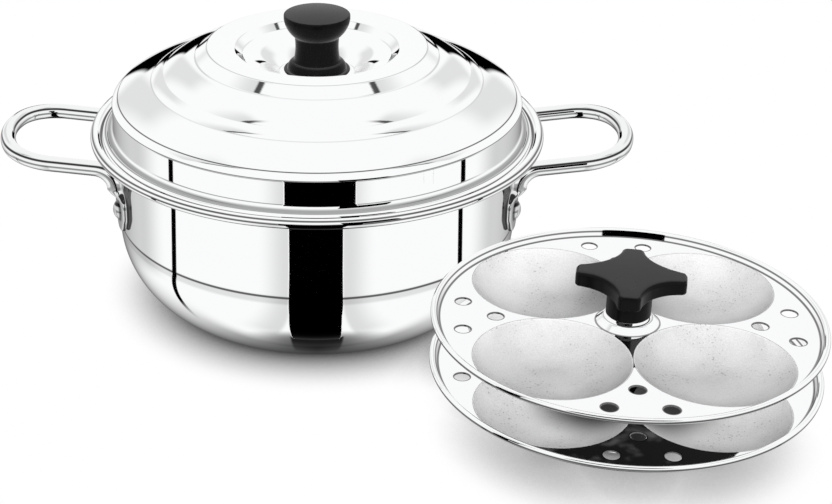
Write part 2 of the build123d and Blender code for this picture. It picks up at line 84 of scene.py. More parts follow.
def folded(line, folds, reach, steps=10):
    """The line with each fold opened into a smooth bend that starts and ends reach away from it."""
    line = [Vector(p) for p in line]
    for fold in folds:
        at = min(range(len(line)), key=lambda i: (line[i] - Vector(fold)).length)
        ends, cuts = [], []
        for step in (-1, 1):
            i, left_over = at, reach
            while 0 < i + step < len(line) - 1 and (line[i + step] - line[i]).length < left_over:
                left_over -= (line[i + step] - line[i]).length
                i += step
            way = line[i + step] - line[i]
            ends.append(line[i] + way * min(1, left_over / way.length))
            cuts.append(i)
        bend = []
        for k in range(steps + 1):
            t = k / steps
            bend.append(ends[0] * (1 - t) ** 2 + line[at] * 2 * t * (1 - t) + ends[1] * t**2)
        line = line[: cuts[0]] + bend + line[cuts[1] + 1 :]
    return [tuple(p) for p in line]


def other_face(line, thickness):
    """The line of a sheet's other face, to the left of this one, or to the right if negative."""
    points = [Vector(p) for p in line]
    moved = []
    for i, p in enumerate(points):
        before = p - points[i - 1] if i else points[1] - p
        after = points[i + 1] - p if i < len(points) - 1 else before
        way = (before.normalized() + after.normalized()).normalized()
        moved.append(tuple(p + Vector((-way.y, way.x)) * thickness / way.dot(before.normalized())))
    return moved


def spin(bm, section, segments, place=Matrix.Identity(4), closed=True):
    """Turns a section about the upright axis of a place, and gives back its rings of vertices."""
    rings = []
    for radius, height in section:
        ring = []
        for k in range(segments if radius > 0 else 1):
            turn = math.tau * k / segments
            point = Vector((radius * math.cos(turn), radius * math.sin(turn), height))
            ring.append(bm.verts.new(place @ (point * mm)))
        rings.append(ring)
    pairs = list(zip(rings, rings[1:]))
    if closed:
        pairs.append((rings[-1], rings[0]))
    for lower, upper in pairs:
        for k in range(segments):
            around = ((lower, k), (lower, k + 1), (upper, k + 1), (upper, k))
            corners = list(dict.fromkeys(ring[at % len(ring)] for ring, at in around))
            if len(corners) > 2:
                bm.faces.new(corners)
    return rings


def object_of(name, bm, materials):
    """An object of a mesh and its materials."""
    mesh = bpy.data.meshes.new(name)
    bm.to_mesh(mesh)
    bm.free()
    for material in materials:
        mesh.materials.append(material)
    made = bpy.data.objects.new(name, mesh)
    bpy.context.scene.collection.objects.link(made)
    return made


def new_piece(name, bm, body, materials, nodes, sheet=0, split_degrees=38):
    """Makes a piece of a mesh: it rides on a body, and stands for the nodes named."""
    bmesh.ops.recalc_face_normals(bm, faces=bm.faces)
    piece = object_of(name, bm, materials)
    if sheet:
        thickness = piece.modifiers.new("sheet", "SOLIDIFY")
        thickness.thickness = sheet * mm
        thickness.offset = -1
        thickness.use_even_offset = True
        evaluated = piece.evaluated_get(bpy.context.evaluated_depsgraph_get())
        piece.data = bpy.data.meshes.new_from_object(evaluated)
        piece.modifiers.clear()
        piece.data.name = name
    piece.data.shade_smooth()
    piece.data.set_sharp_from_angle(angle=math.radians(split_degrees))
    evened = piece.modifiers.new("evened normals", "WEIGHTED_NORMAL")
    evened.keep_sharp = True
    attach(piece, body)
    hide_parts(*nodes)
    return piece


class Value:
    """A socket in a finish. Arithmetic on it adds the Math nodes that work the sum out."""

    def __init__(self, finish, socket):
        self.finish, self.socket = finish, socket

    def maths(self, operation, *values):
        return self.finish.node("ShaderNodeMath", dict(enumerate(values)), operation=operation)

    def __add__(self, other):
        return self.maths("ADD", self, other)

    def __sub__(self, other):
        return self.maths("SUBTRACT", self, other)

    def __rsub__(self, other):
        return self.maths("SUBTRACT", other, self)

    def __mul__(self, other):
        return self.maths("MULTIPLY", self, other)

    __radd__ = __add__
    __rmul__ = __mul__

    def __abs__(self):
        return self.maths("ABSOLUTE", self)

    def above(self, least):
        """The larger of this and another value."""
        return self.maths("MAXIMUM", self, least)

    def below(self, most):
        """The smaller of this and another value."""
        return self.maths("MINIMUM", self, most)

    def root(self):
        return self.maths("SQRT", self)

    def line(self, half_width):
        """1 where this is 0, falling to 0 at the half width on both sides."""
        return 1 - abs(self).rise(half_width * 0.4, half_width)

    def rise(self, low, high):
        """0 up to low and 1 from high on, with a smooth rise between."""
        span = {"Value": self, "From Min": low, "From Max": high}
        return self.finish.node("ShaderNodeMapRange", span, interpolation_type="SMOOTHSTEP")

    def between(self, start, full, waning, end):
        """1 from full to waning, with a smooth rise from start and a smooth fall to end."""
        return self.rise(start, full) * (1 - self.rise(waning, end))


class Finish:
    """The nodes of one material, or of the studio's light."""

    def __init__(self, owner, output_kind="ShaderNodeOutputMaterial"):
        owner.use_nodes = True
        self.owner, self.tree = owner, owner.node_tree
        self.tree.nodes.clear()
        self.output = self.tree.nodes.new(output_kind)

    def node(self, kind, values, output=0, **settings):
        made = self.tree.nodes.new(kind)
        for setting, choice in settings.items():
            setattr(made, setting, choice)
        for name, value in values.items():
            if isinstance(value, Value):
                self.tree.links.new(value.socket, made.inputs[name])
            else:
                made.inputs[name].default_value = value
        return Value(self, made.outputs[output])

    def places(self, centre=(0, 0), turn=0):
        """Place on the piece in millimetres, seen from an upright axis and turned about it."""
        place = self.node("ShaderNodeTexCoord", {}, "Object")
        about = {"Vector": place, "Center": (centre[0] * mm, centre[1] * mm, 0), "Angle": -turn}
        turned = self.node("ShaderNodeVectorRotate", about, rotation_type="Z_AXIS")
        from_axis = {0: turned, 1: (centre[0] * mm, centre[1] * mm, 0)}
        moved = self.node("ShaderNodeVectorMath", from_axis, operation="SUBTRACT")
        scaled = self.node("ShaderNodeVectorMath", {0: moved, "Scale": 1 / mm}, operation="SCALE")
        return place, [self.node("ShaderNodeSeparateXYZ", {0: scaled}, axis) for axis in range(3)]

    def noise(self, place, scale, detail):
        """An uneven value from 0 to 1, the finer the larger the scale."""
        values = {"Vector": place, "Scale": scale, "Detail": detail}
        return self.node("ShaderNodeTexNoise", values, "Fac")

    def mix(self, share, first, second):
        """A colour between two colours."""
        values = {0: share, 6: first, 7: second}
        return self.node("ShaderNodeMix", values, 2, data_type="RGBA")

    def close(self, shader):
        self.tree.links.new(shader.socket, self.output.inputs["Surface"])
        return self.owner


def polished_steel(name, colour, roughness, haze, centre=(0, 0), painted_lines=(), painted_light=None):
    """Steel buffed as it spins: hair-fine lines run round the axis, with a little haze between them.
    Painted lines, each a radius, height, half width and depth of tone, darken the colour: painted
    reflections and shade at folds."""
    lines_across = 2.2
    lines_along = 1.5
    finish = Finish(bpy.data.materials.new(name))
    place, (x, y, z) = finish.places(centre)
    radius = (x * x + y * y).root()
    turn = finish.node("ShaderNodeMath", {0: y, 1: x}, operation="ARCTAN2")
    wound = {"X": radius * lines_across, "Y": z * lines_across, "Z": turn * lines_along}
    round_it = finish.node("ShaderNodeCombineXYZ", wound)
    lines = finish.noise(round_it, 1.0, 2.0)
    cloud = finish.noise(place, 28.0, 3.0)
    bump = finish.node("ShaderNodeBump", {"Height": lines, "Strength": 0.02, "Distance": 0.0001}, "Normal")
    shine = 0.985 + 0.015 * cloud
    # Painted dark lines darken the base colour, and so does any painted light given.
    for crease_radius, crease_height, half_width, depth in painted_lines:
        across, rise = radius - crease_radius, z - crease_height
        shine = shine * (1 - depth * (across * across + rise * rise).root().line(half_width))
    if painted_light:
        shine = shine * painted_light(finish)
    shader = finish.node("ShaderNodeBsdfPrincipled", {
        "Base Color": finish.mix(shine, (0, 0, 0, 1), (*colour, 1)),
        "Metallic": 1.0,
        "Roughness": roughness + haze * lines * cloud.rise(0.35, 0.75),
        "Normal": bump,
    })
    return finish.close(shader)


# Painted dark lines: painted reflections and shade at the crease, the ledge and the rim's curl.
pot_painted_lines = [
    (wall_radius, crease_height, 0.9, 0.85),
    (wall_radius, crease_height - 1.5, 3.2, 0.22),
    (wall_radius + ledge_bend, ledge_height - pot_sheet, 2.6, 0.55),
    (rim_radius - 2 * rim_bead, ledge_height, 1.6, 0.92),
    (rim_radius - 0.4 * rim_bead, rim_height - 0.2 * rim_bead, 0.75, 0.85),
    (rim_radius, rim_height - 0.85 * rim_bead, 0.75, 0.75),
    (rim_radius - rim_bead, rim_height - 2 * rim_bead, 1.6, 0.75),
    (rim_radius - 2 * rim_bead, rim_height - 0.9 * rim_bead, 0.9, 0.8),
]
pot_polish = polished_steel("pot_polish", bright_steel, bright_roughness, bright_haze, painted_lines=pot_painted_lines)
bead_centre = (rim_radius - rim_bead, rim_height - rim_bead)
ledge_underside = ledge_height - pot_sheet
outside = [(0, 0), (base_radius, 0)]
outside += arc((base_radius, 0), (wall_radius, crease_height), -bowl_radius, 48)
outside.append((wall_radius, ledge_underside - ledge_bend))
ledge_start = wall_radius + ledge_bend
outside += arc((wall_radius, ledge_underside - ledge_bend), (ledge_start, ledge_underside), ledge_bend, 12)
under_meets = math.degrees(math.asin((ledge_underside - bead_centre[1]) / rim_bead))
over_meets = math.degrees(math.asin((ledge_height - bead_centre[1]) / rim_bead))
outside.append((bead_centre[0] - rim_bead * math.cos(math.radians(under_meets)), ledge_underside))
outside = folded(outside, [(base_radius, 0)], base_bend)
inside = other_face(outside, pot_sheet)
inside[-1] = (bead_centre[0] - rim_bead * math.cos(math.radians(over_meets)), ledge_height)
curl = bead(bead_centre, rim_bead, -180 - under_meets, 180 - over_meets)
bm = bmesh.new()
spin(bm, outside + curl[1:-1] + inside[::-1], round_segments)
new_piece("pot", bm, "pot", [pot_polish], ["pot_body"]).visible_glossy = False

# Side handles. Each is one bent stainless rod whose ends are forged flat into ears that lie on the
# wall. The rod is barrel-polished, a little softer than the pot. The left one is the right one mirrored.
rod_radius = 4.15
rod_gap = 0.3
grip_reach = 171.0
grip_height = 95.0
grip_half_width = 36.3
grip_end_radius = 55.0
grip_corner_radius = 26.0
grip_tilt = math.radians(6.5)
arm_bend = 12.0
grip_end_steps = 16
grip_corner_steps = 24
arm_steps = 12
arm_bend_steps = 16
forging_steps = 6
ring_points = 40
ear_gap = 0.05
ear_thickness = 3.0
rod_end_distance = wall_radius + rod_gap + rod_radius
ear_centre = wall_radius + ear_gap + ear_thickness / 2
ear_bearing = math.asin(grip_half_width / rod_end_distance)
rod_end = Vector((rod_end_distance * math.cos(ear_bearing), grip_half_width))
# Forging of the ear, from the rod down to its tip: height, half width, half depth, distance from the
# pot's axis, and how square its section is
ear_forging = [
    (77.3, 4.15, 4.15, rod_end_distance, 2.0),
    (75.3, 4.9, 3.5, rod_end_distance - 0.7, 2.3),
    (73.2, 6.4, 2.5, ear_centre + 0.9, 2.8),
    (71.0, 8.2, 1.7, ear_centre + 0.2, 3.6),
    (68.5, 8.9, 1.5, ear_centre, 4.5),
    (64.2, 8.9, 1.5, ear_centre, 4.5),
    (60.5, 8.6, 1.5, ear_centre, 4.5),
    (56.5, 6.6, 1.5, ear_centre, 4.0),
    (53.6, 4.7, 1.45, ear_centre, 3.6),
    (52.4, 3.0, 1.2, ear_centre, 3.0),
    (52.0, 0.6, 0.6, ear_centre, 2.0),
]


def smooth_between(stations, steps):
    """Stations of a forged piece with smooth ones added between them."""
    rows = [stations[0]] + stations + [stations[-1]]
    smooth = []
    for before, here, there, after in zip(rows, rows[1:], rows[2:], rows[3:]):
        for k in range(steps):
            t = k / steps
            row = []
            for p0, p1, p2, p3 in zip(before, here, there, after):
                curve = 2 * p1 + (p2 - p0) * t + (2 * p0 - 5 * p1 + 4 * p2 - p3) * t**2
                row.append((curve + (3 * p1 - p0 - 3 * p2 + p3) * t**3) / 2)
            smooth.append(row)
    return smooth + [stations[-1]]


def grip_line():
    """Centre of the rod from the middle of the grip to the foot of its bend, with its direction."""
    spread = grip_end_radius - grip_corner_radius
    end_turn = math.asin((grip_half_width - grip_corner_radius) / spread)
    line = []
    for k in range(grip_end_steps + 1):
        a = end_turn * k / grip_end_steps
        line.append((grip_end_radius * (1 - math.cos(a)), grip_end_radius * math.sin(a)))
    centre = Vector((grip_end_radius - spread * math.cos(end_turn), spread * math.sin(end_turn)))
    for k in range(1, grip_corner_steps + 1):
        a = end_turn + (math.pi / 2 - end_turn) * k / grip_corner_steps
        line.append(tuple(centre + Vector((-math.cos(a), math.sin(a))) * grip_corner_radius))
    slope = Vector((-math.cos(grip_tilt), 0, -math.sin(grip_tilt)))
    points = [Vector((grip_reach, y, grip_height)) + slope * inset for inset, y in line]
    bend_start = rod_end.x + arm_bend * (1 - math.sin(grip_tilt))
    foot = grip_height - (grip_reach - bend_start) * math.tan(grip_tilt)
    start = Vector((bend_start, grip_half_width, foot))
    points += [points[-1].lerp(start, k / arm_steps) for k in range(1, arm_steps + 1)]
    centre = start + Vector((math.sin(grip_tilt), 0, -math.cos(grip_tilt))) * arm_bend
    for k in range(1, arm_bend_steps + 1):
        a = math.pi / 2 + grip_tilt + (math.pi / 2 - grip_tilt) * k / arm_bend_steps
        points.append(centre + Vector((math.cos(a), 0, math.sin(a))) * arm_bend)
    return points


def handle(name, side, nodes):
    """The whole handle on one side of the pot: 1 is right, -1 is left."""
    bm = bmesh.new()
    across = Vector((-math.sin(ear_bearing), math.cos(ear_bearing), 0))
    out = Vector((math.cos(ear_bearing), math.sin(ear_bearing), 0))
    stations = []
    rod = grip_line()
    for i, point in enumerate(rod):
        way = (rod[min(i + 1, len(rod) - 1)] - rod[max(i - 1, 0)]).normalized()
        if i == 0:
            way = Vector((0, 1, 0))
        level = Vector((0, 0, 1)).cross(way)
        wide = (-level).normalized() if level.length > 0.3 else across
        wide = wide.lerp(across, max(0, 1 - (len(rod) - 1 - i) / arm_bend_steps)).normalized()
        deep = way.cross(wide).normalized()
        stations.append((point, deep.cross(way).normalized(), deep, rod_radius, rod_radius, 2.0))
    drop = rod[-1].z - ear_forging[0][0]
    flat_from = ear_forging[4][0]
    forged = smooth_between(ear_forging, forging_steps)[1:]
    for height, half_width, half_depth, distance, squareness in forged:
        lower = height + drop * max(0, (height - flat_from) / (ear_forging[0][0] - flat_from))
        point = out * distance + Vector((0, 0, lower))
        stations.append((point, across, out, half_width, half_depth, squareness))
    rings = []
    for point, wide, deep, half_width, half_depth, squareness in stations:
        ring = []
        for k in range(ring_points):
            a = math.tau * k / ring_points
            x = math.copysign(abs(math.cos(a)) ** (2 / squareness), math.cos(a)) * half_width
            y = math.copysign(abs(math.sin(a)) ** (2 / squareness), math.sin(a)) * half_depth
            ring.append(bm.verts.new((point + wide * x + deep * y) * mm))
        rings.append(ring)
    for lower, upper in zip(rings, rings[1:]):
        for k in range(ring_points):
            after = (k + 1) % ring_points
            bm.faces.new((lower[k], lower[after], upper[after], upper[k]))
    bm.faces.new(rings[-1])
    bmesh.ops.mirror(bm, geom=bm.verts[:] + bm.edges[:] + bm.faces[:], axis="Y", merge_dist=0.01 * mm)
    if side < 0:
        bmesh.ops.scale(bm, vec=(-1, 1, 1), verts=bm.verts)
    return new_piece(name, bm, "pot", [rod_polish], nodes, split_degrees=60)


ear_top = 80.0
ear_blend = 8.0
rivet_height = 64.2
rivet_head_radius = 5.75
rivet_shade_width = 1.1
rivet_shade_depth = 0.8
shoulder_facing = 0.6
shoulder_width = 0.17
shoulder_depth = 0.96
side_facing = -0.02
side_width = 0.14
side_depth = 0.6
painted_underside_tone = 0.55
ear_tone = 0.72


def painted_rod_reflections(finish):
    """Painted reflections and shade on the rod: a dark line on its shoulder, a fainter one on its side and a
    shaded underside; a painted dark ring round each rivet's head. The ears are a darker tone."""
    normal = finish.node("ShaderNodeNewGeometry", {}, "Normal")
    facing_up = finish.node("ShaderNodeSeparateXYZ", {0: normal}, "Z")
    x, y, z = finish.places()[1]
    on_rod = z.rise(ear_top - ear_blend, ear_top)
    # Painted reflection lines and painted shade, by which way the surface faces and how high it is.
    painted_shoulder_line = shoulder_depth * (facing_up - shoulder_facing).line(shoulder_width)
    side_line = side_depth * (facing_up - side_facing).line(side_width) * on_rod
    off_x = abs(x) - ear_centre * math.cos(ear_bearing)
    off_y = abs(y) - ear_centre * math.sin(ear_bearing)
    sideways = off_y * math.cos(ear_bearing) - off_x * math.sin(ear_bearing)
    from_rivet = (sideways * sideways + (z - rivet_height) * (z - rivet_height)).root()
    rivet_shade = rivet_shade_depth * (from_rivet - rivet_head_radius).line(rivet_shade_width) * (1 - on_rod)
    underside = painted_underside_tone + (1 - painted_underside_tone) * facing_up.rise(-0.85, -0.2)
    ear = ear_tone + (1 - ear_tone) * on_rod
    return underside * ear * (1 - painted_shoulder_line) * (1 - side_line) * (1 - rivet_shade)


rod_steel = (0.9, 0.905, 0.91)
rod_roughness = 0.045
rod_haze = 0.04
rod_polish = polished_steel("rod_polish", rod_steel, rod_roughness, rod_haze, painted_light=painted_rod_reflections)


def for_steel_alone(thing):
    """Makes a part of the studio that shows in the steel and nowhere else."""
    thing.visible_camera = thing.visible_diffuse = thing.visible_shadow = thing.visible_transmission = False


def painted_reflection(carrier, name, bm, tone, shine=1.0, blotched=0.0):
    """The steel shows white paper and not its own neighbours, as in a studio picture of each piece by
    itself. This puts back the faces it does show as painted reflections: grey, from their outer side alone."""
    carrier.visible_glossy = False
    finish = Finish(bpy.data.materials.new(name))
    place = finish.node("ShaderNodeTexCoord", {}, "Object")
    blotches = finish.noise(place, 70.0, 2.0)
    grey = tone * (1 - blotched + 4 * blotched * blotches.rise(0.5, 0.7))
    outer = finish.node("ShaderNodeBsdfPrincipled", {
        "Base Color": finish.node("ShaderNodeCombineColor", {0: grey, 1: grey, 2: grey}, 0),
        "Metallic": shine,
        "Roughness": 0.2,
    })
    inner_side = finish.node("ShaderNodeNewGeometry", {}, "Backfacing")
    clear = finish.node("ShaderNodeBsdfTransparent", {})
    one_sided = finish.node("ShaderNodeMixShader", {0: inner_side, 1: outer, 2: clear})
    shown = object_of(name, bm, [finish.close(one_sided)])
    shown.parent = carrier
    for_steel_alone(shown)


def faces_of(piece, wanted):
    """A copy of the faces of a piece that are wanted."""
    bm = bmesh.new()
    bm.from_mesh(piece.data)
    bm.normal_update()
    bmesh.ops.delete(bm, geom=[face for face in bm.faces if not wanted(face)], context="FACES")
    return bm


# The ears' faces toward the pot, as a dark painted reflection in its wall.
ear_shown = 0.12
for name, side, node in (("right_handle_rod", 1, "right_handle"), ("left_handle_rod", -1, "left_handle")):
    rod = handle(name, side, [node])
    ears = faces_of(rod, lambda f: f.normal.x * side < -0.05 and f.calc_center_median().z < ear_top * mm)
    painted_reflection(rod, name + "_shown", ears, ear_shown)

# Rivets. Four solid stainless rivets hold the ears. Each has a low domed head outside, and its tail is
# set over inside the pot.
rivet_radius = 2.0
rivet_head_height = 3.0
rivet_tail_radius = 4.5
rivet_tail_height = 1.5
rivet_seat_gap = 0.05
head_seat = wall_radius + ear_gap + ear_thickness + rivet_seat_gap
tail_seat = math.sqrt((wall_radius - pot_sheet) ** 2 - rivet_tail_radius**2) - rivet_seat_gap
head_dome = (rivet_head_radius**2 + rivet_head_height**2) / (2 * rivet_head_height)
rivet_line = [(0, tail_seat - rivet_tail_height)]
rivet_line += arc(rivet_line[0], (rivet_tail_radius, tail_seat), -2 * rivet_tail_radius, 8)
rivet_line += [(rivet_radius, tail_seat), (rivet_radius, head_seat), (rivet_head_radius, head_seat)]
rivet_line += arc(rivet_line[-1], (0, head_seat + rivet_head_height), -head_dome, 14)
rivet_line[-1] = (0, head_seat + rivet_head_height)
bm = bmesh.new()
for bearing in (ear_bearing, -ear_bearing, math.pi - ear_bearing, math.pi + ear_bearing):
    lying = Matrix.Rotation(bearing, 4, "Z") @ Matrix.Rotation(math.pi / 2, 4, "Y")
    spin(bm, rivet_line, 48, Matrix.Translation((0, 0, rivet_height * mm)) @ lying, closed=False)
new_piece("rivets", bm, "pot", [rod_polish], ["handle_rivets"]).visible_glossy = False

# Lid. One stainless disc spun over a former: a curled flange that drops on the pot's ledge, an upright
# band, a domed shoulder, a raised ring, a sloping plateau, and a deep seat in the middle for the knob.
lid_sheet = 0.9
lid_seat_gap = 0.3
flange_play = 1.4
flange_bead = 1.6
flange_rise = 1.1
flange_bend = 3.5
band_radius = 112.5
band_top = 116.6
shoulder = (108.9, 120.0)
shoulder_arc = 11.3
ring_outer = (90.6, 128.35)
ring_crest = (87.4, 130.75)
ring_inner = (84.0, 132.3)
dome_arc = 74.0
step = (66.4, 141.2)
annulus_arc = 45.0
plateau_outer = (60.0, 146.6)
plateau_inner = (44.8, 145.6)
well_edge = (40.5, 141.6)
well_arc = 34.0
seat_edge = (20.5, 131.0)
screw_hole_radius = 1.95
lid_fold = 0.8
ring_fold = 0.5
flange_distance = rim_radius - 2 * rim_bead - flange_play - flange_bead
flange_centre = (flange_distance, ledge_height + lid_seat_gap + flange_bead)
flange_height = flange_centre[1] + flange_rise
flange_start = (band_radius + flange_bend, flange_height)
seat_height = seat_edge[1]


def arc_through(start, middle, end, steps=16):
    """Points after start of the round stretch through a middle point."""
    a, b, c = math.dist(start, middle), math.dist(middle, end), math.dist(start, end)
    (x0, y0), (x1, y1), (x2, y2) = start, middle, end
    twice_area = (x1 - x0) * (y2 - y0) - (x2 - x0) * (y1 - y0)
    return arc(start, end, -a * b * c / (2 * twice_area), steps)


top_line = [(screw_hole_radius, seat_height), seat_edge]
top_line += arc(seat_edge, well_edge, well_arc, 15)
top_line += [plateau_inner, plateau_outer, step]
top_line += arc(step, ring_inner, annulus_arc)
top_line += arc_through(ring_inner, ring_crest, ring_outer, 10)
top_line += arc(ring_outer, shoulder, dome_arc, 22)
top_line += arc(shoulder, (band_radius, band_top), shoulder_arc, 12)
top_line.append((band_radius, flange_height + flange_bend))
top_line += arc(top_line[-1], flange_start, -flange_bend, 10)
lid_folds = [seat_edge, well_edge, plateau_inner, plateau_outer, step, (band_radius, band_top)]
top_line = folded(top_line, lid_folds, lid_fold, 6)
top_line = folded(top_line, [ring_inner, ring_outer], ring_fold, 6)
under_line = other_face(top_line, -lid_sheet)
over_meets = math.degrees(math.asin(flange_rise / flange_bead))
under_meets = math.degrees(math.asin((flange_rise - lid_sheet) / flange_bead))
curl = bead(flange_centre, flange_bead, 180 - over_meets, -180 - under_meets)
bm = bmesh.new()
spin(bm, top_line + curl + under_line[::-1], round_segments)
# Painted dark lines: painted reflections and shade at the shoulder, band, flange and raised steps.
lid_painted_lines = [
    (shoulder[0] + 0.3, shoulder[1] - 0.2, 0.5, 0.85),
    (band_radius, band_top, 0.4, 0.8),
    (band_radius + flange_bend / 2, flange_height, 2.4, 0.6),
    (flange_centre[0] + flange_bead, flange_centre[1] - 0.5 * flange_bead, 1.3, 0.92),
    (flange_centre[0], flange_centre[1] + flange_bead, 0.6, 0.7),
    (ring_outer[0], ring_outer[1], 0.5, 0.18),
    (step[0], step[1], 0.5, 0.15),
    (plateau_outer[0], plateau_outer[1], 0.5, 0.35),
]
lid_polish = polished_steel("lid_polish", bright_steel, bright_roughness, bright_haze, painted_lines=lid_painted_lines)
lid = new_piece("lid", bm, "lid", [lid_polish], ["lid_shell"])
well_reach = (well_edge[0] + 2) * mm
well_top = (well_edge[1] + 1) * mm
well_facing = 0.3
well_shown = 0.93


def in_well(face):
    """The upper side of the seat and of the slope that leads down to it."""
    middle = face.calc_center_median()
    return face.normal.z > well_facing and middle.xy.length < well_reach and middle.z < well_top


# The well's upper faces, as a pale painted reflection in the lid's own steel.
painted_reflection(lid, "lid_well", faces_of(lid, in_well), well_shown)

# Lid knob. Moulded in black phenolic with a threaded brass insert, then tumbled to a soft gloss. A
# slotted screw and washer hold it from below, and a thin fibre washer keeps it off the hot steel.
knob_washer_thickness = 0.8
knob_base = seat_height + knob_washer_thickness
knob_foot_radius = 18.1
knob_foot_height = 1.4
knob_shoulder = [(16.2, 1.4), (15.2, 4.4), (12.6, 6.2)]
knob_waist = (11.8, 12.5)
knob_neck_top = (12.2, 19.8)
knob_cap_middle = (16.0, 24.0)
knob_cap_low = (18.0, 29.8)
knob_cap_high = (18.0, 31.4)
knob_cap_corner = 0.9
knob_fold = 1.0
knob_height = 33.4
knob_bore_radius = 4.5
knob_bore_depth = 12.5


def phenolic(name, roughness):
    """Black moulded plastic with the faint unevenness of a pressed surface; upward faces get a painted
    sheen.
    """
    finish = Finish(bpy.data.materials.new(name))
    place = finish.node("ShaderNodeTexCoord", {}, "Object")
    grain = finish.noise(place, 900.0, 3.0)
    cloud = finish.noise(place, 70.0, 2.0)
    normal = finish.node("ShaderNodeNewGeometry", {}, "Normal")
    # Faces turned up are painted lighter, unevenly: a painted sheen.
    painted_top_sheen = finish.node("ShaderNodeSeparateXYZ", {0: normal}, "Z").rise(0.7, 0.97) * (0.7 + 0.3 * cloud)
    bump = finish.node("ShaderNodeBump", {"Height": grain, "Strength": 0.08, "Distance": 0.0002}, "Normal")
    shader = finish.node("ShaderNodeBsdfPrincipled", {
        "Base Color": finish.mix(painted_top_sheen, (0.003, 0.003, 0.003, 1), (0.04, 0.04, 0.041, 1)),
        "Roughness": roughness + 0.12 * cloud,
        "Specular IOR Level": 0.07,
        "Normal": bump,
    })
    return finish.close(shader)


black_phenolic = phenolic("black_phenolic", 0.2)
foot_edge = knob_foot_height / 2
knob_line = [(knob_bore_radius, 0), (knob_foot_radius - foot_edge, 0)]
knob_line += bead((knob_foot_radius - foot_edge, foot_edge), foot_edge, -90, 90, 10)
knob_line.append(knob_shoulder[0])
knob_line += arc_through(*knob_shoulder, 12)
knob_line += arc_through(knob_shoulder[2], knob_waist, knob_neck_top, 14)
knob_line += arc_through(knob_neck_top, knob_cap_middle, knob_cap_low, 22)
corner_centre = (knob_cap_high[0] - knob_cap_corner, knob_cap_high[1])
knob_line += bead(corner_centre, knob_cap_corner, 0, 90, 8)
crown = knob_height - knob_cap_high[1] - knob_cap_corner
crown_arc = (corner_centre[0] ** 2 + crown**2) / (2 * crown)
knob_line += arc(knob_line[-1], (0, knob_height), -crown_arc, 10)
knob_line[-1] = (0, knob_height)
knob_line = folded(knob_line, [knob_neck_top, knob_shoulder[2]], knob_fold)
knob_line += [(0, knob_bore_depth), (knob_bore_radius, knob_bore_depth)]
bm = bmesh.new()
spin(bm, [(r, knob_base + h) for r, h in knob_line], 128)
new_piece("lid_knob_moulding", bm, "lid", [black_phenolic], ["lid_knob"]).visible_glossy = False


def plain_metal(name, colour, roughness):
    """A turned or stamped small part, with light tool marks."""
    finish = Finish(bpy.data.materials.new(name))
    place = finish.node("ShaderNodeTexCoord", {}, "Object")
    marks = finish.noise(place, 700.0, 4.0)
    bump = finish.node("ShaderNodeBump", {"Height": marks, "Strength": 0.15, "Distance": 0.0002}, "Normal")
    shader = finish.node("ShaderNodeBsdfPrincipled", {
        "Base Color": finish.mix(marks, (*[c * 0.85 for c in colour], 1), (*colour, 1)),
        "Metallic": 1.0,
        "Roughness": roughness + 0.15 * marks,
        "Normal": bump,
    })
    return finish.close(shader)


def fibre(name):
    """Dark pressed fibre, matt and slightly flecked."""
    finish = Finish(bpy.data.materials.new(name))
    place = finish.node("ShaderNodeTexCoord", {}, "Object")
    flecks = finish.noise(place, 1500.0, 4.0)
    shader = finish.node("ShaderNodeBsdfPrincipled", {
        "Base Color": finish.mix(flecks, (0.008, 0.008, 0.008, 1), (0.03, 0.03, 0.03, 1)),
        "Roughness": 0.6 + 0.2 * flecks,
    })
    return finish.close(shader)


def finish_node(node, finish):
    """A small part that keeps its own shape gets its finish."""
    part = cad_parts[node]
    part.data.materials.clear()
    part.data.materials.append(finish)
    part.visible_glossy = False


fastener_steel = plain_metal("fastener_steel", (0.62, 0.63, 0.64), 0.25)
turned_brass = plain_metal("turned_brass", (0.82, 0.60, 0.26), 0.25)
finish_node("lid_knob_washer", fibre("washer_fibre"))
finish_node("lid_knob_insert", turned_brass)
finish_node("lid_knob_screw", fastener_steel)
finish_node("lid_screw_washer", fastener_steel)

# Idli plates. Each is pressed from thinner stainless sheet: four round dishes, a boss for the bolt, steam
# holes and a rolled rim. The plate is polished, and the dishes keep the satin of the press.
plate_sheet = 0.8
plate_radius = 97.5
plate_bead = 1.5
tray_radius = 93.2
tray_depth = 4.0
upper_deck = 54.5
plate_spacing = 25.6
lower_deck = upper_deck - plate_spacing
dish_radius = 38.0
dish_depth = 13.0
dish_floor_radius = 10.0
dish_gap = 0.8
dish_fold = 0.3
rim_fold = 0.5
boss_fold = 1.2
boss_base_radius = 15.75
boss_top_radius = 12.2
boss_height = 3.5
bolt_hole_radius = 3.3
vent_radius = 4.0
vent_circle = 82.5
vent_inner_circle = 65.0
vent_spread = 9.9
rim_segments = 256
boss_segments = 96
dish_segments = 144
vent_segments = 40
stand_bearing = math.radians(-42.8)
stand_gap = 1.3
stand_distance = wall_radius + stand_gap + plate_radius
stand_x = stand_distance * math.cos(stand_bearing)
stand_y = stand_distance * math.sin(stand_bearing)
bolt_place = (stand_x, stand_y)
stand_place = Matrix.Translation((stand_x * mm, stand_y * mm, 0))
dish_distance = (dish_radius + dish_gap / 2) * math.sqrt(2)
dish_arc = ((dish_radius - dish_floor_radius) ** 2 + dish_depth**2) / (2 * dish_depth)
painted_line_half_width = 0.7
dish_painted_line_depth = 0.75
vent_painted_line_depth = 0.85
stack_shade_tone = 0.04
stack_inner = 34.0
stack_outer = 60.0
satin_tone = 0.72
tray_steel = (0.955, 0.96, 0.965)
tray_roughness = 0.03
tray_haze = 0.04


def painted_stack_shade(finish):
    """Painted shade: the middle of the lower plate, deep in the stack under the upper plate, is darker."""
    x, y, z = finish.places(bolt_place)[1]
    return stack_shade_tone + (1 - stack_shade_tone) * (x * x + y * y).root().rise(stack_inner, stack_outer)


